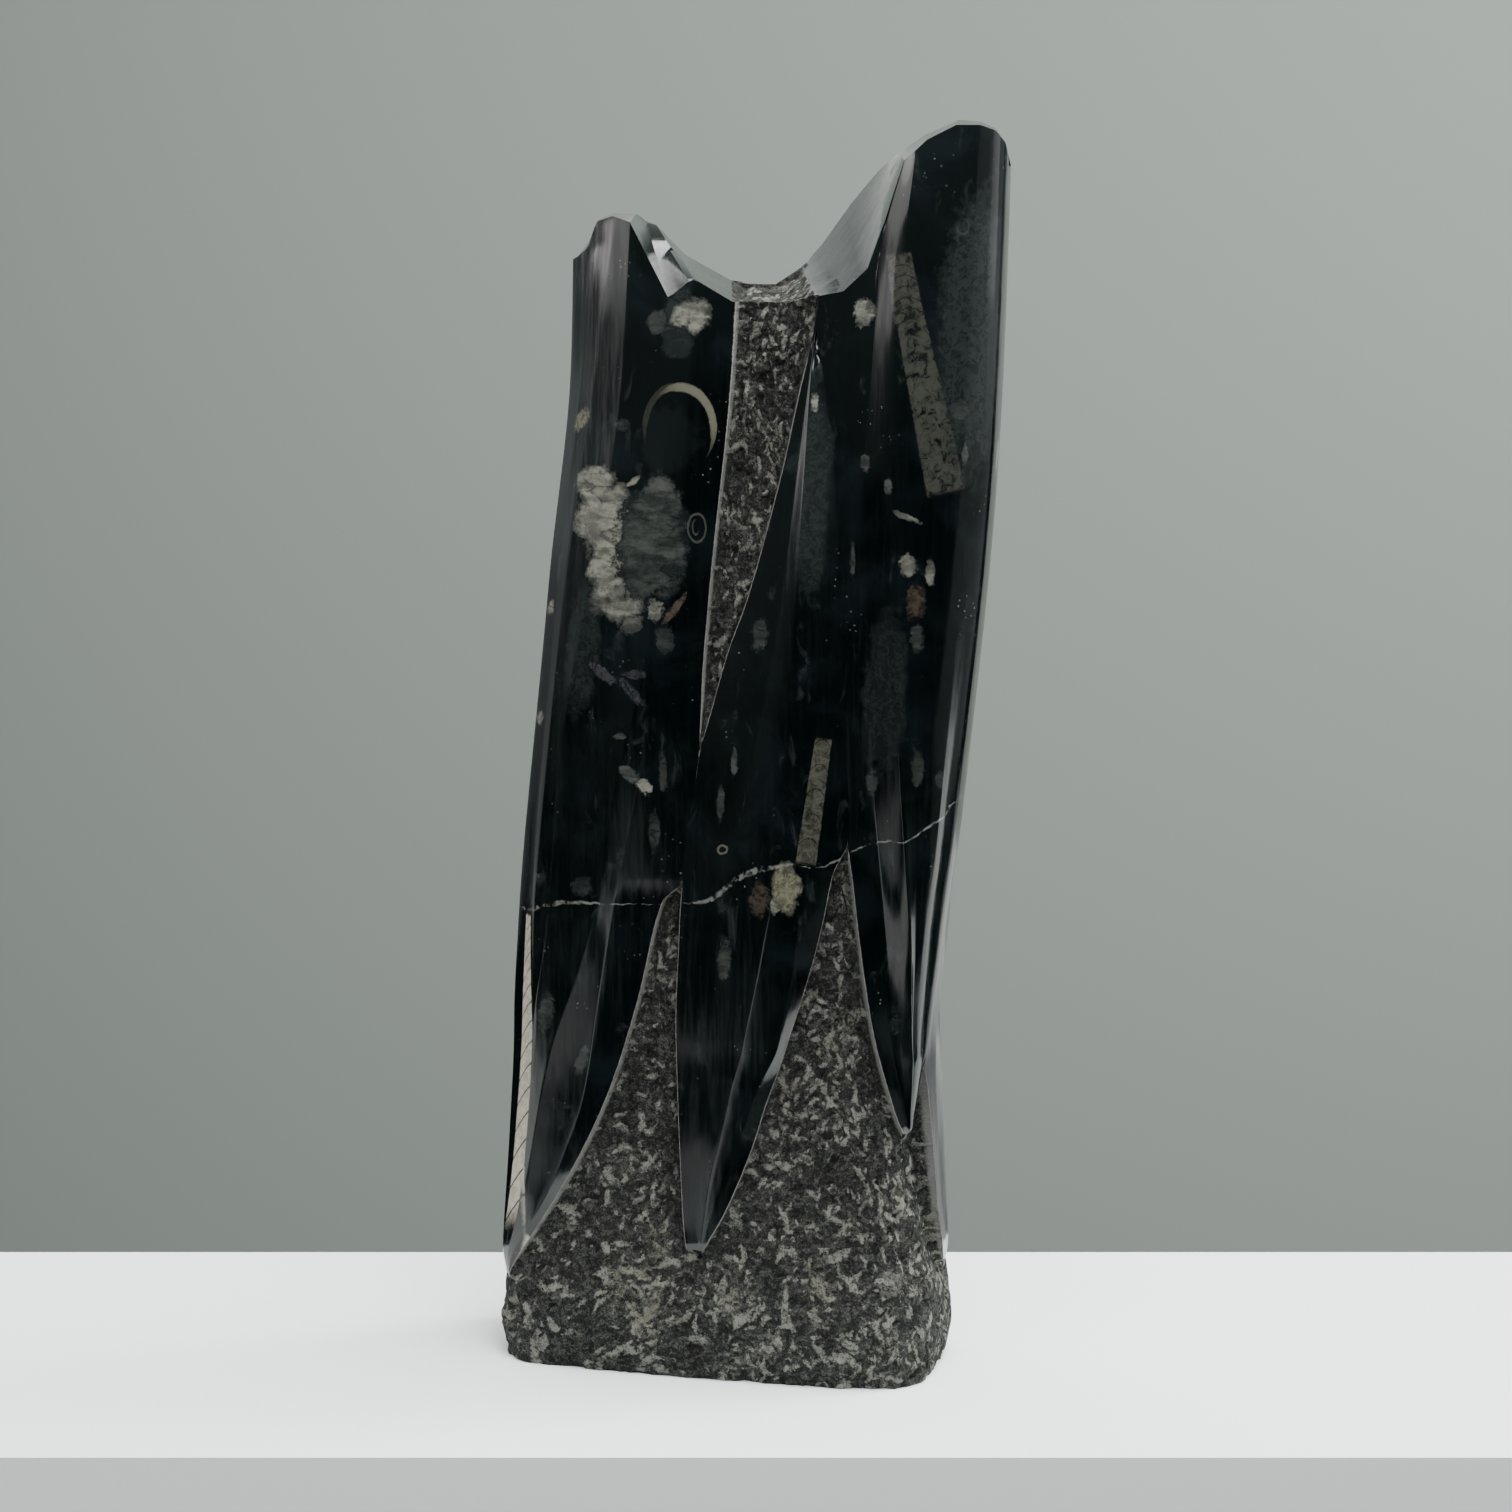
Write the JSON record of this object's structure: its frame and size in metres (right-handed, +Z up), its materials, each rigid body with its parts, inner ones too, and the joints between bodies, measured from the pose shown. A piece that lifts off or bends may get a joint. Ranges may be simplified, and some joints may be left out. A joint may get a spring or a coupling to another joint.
{
  "type": "orthoceras fossil tower",
  "caption": "Standing black limestone tower carved into long polished orthoceras cones with pale fossils, between rough pecked matrix, on a flat-cut foot.",
  "frame": {"origin": "centre of the box's underside, on the flat-cut foot", "axes": "+Z up the tower, +X to its right end, where the higher peak is, -Y out of its front face"},
  "size_m": [0.1808, 0.0756, 0.4434],
  "materials": {
    "fossil_limestone": "polished"
  },
  "bodies": {
    "root": {"orthoceras_stone": "fossil_limestone"}
  },
  "joints": []
}
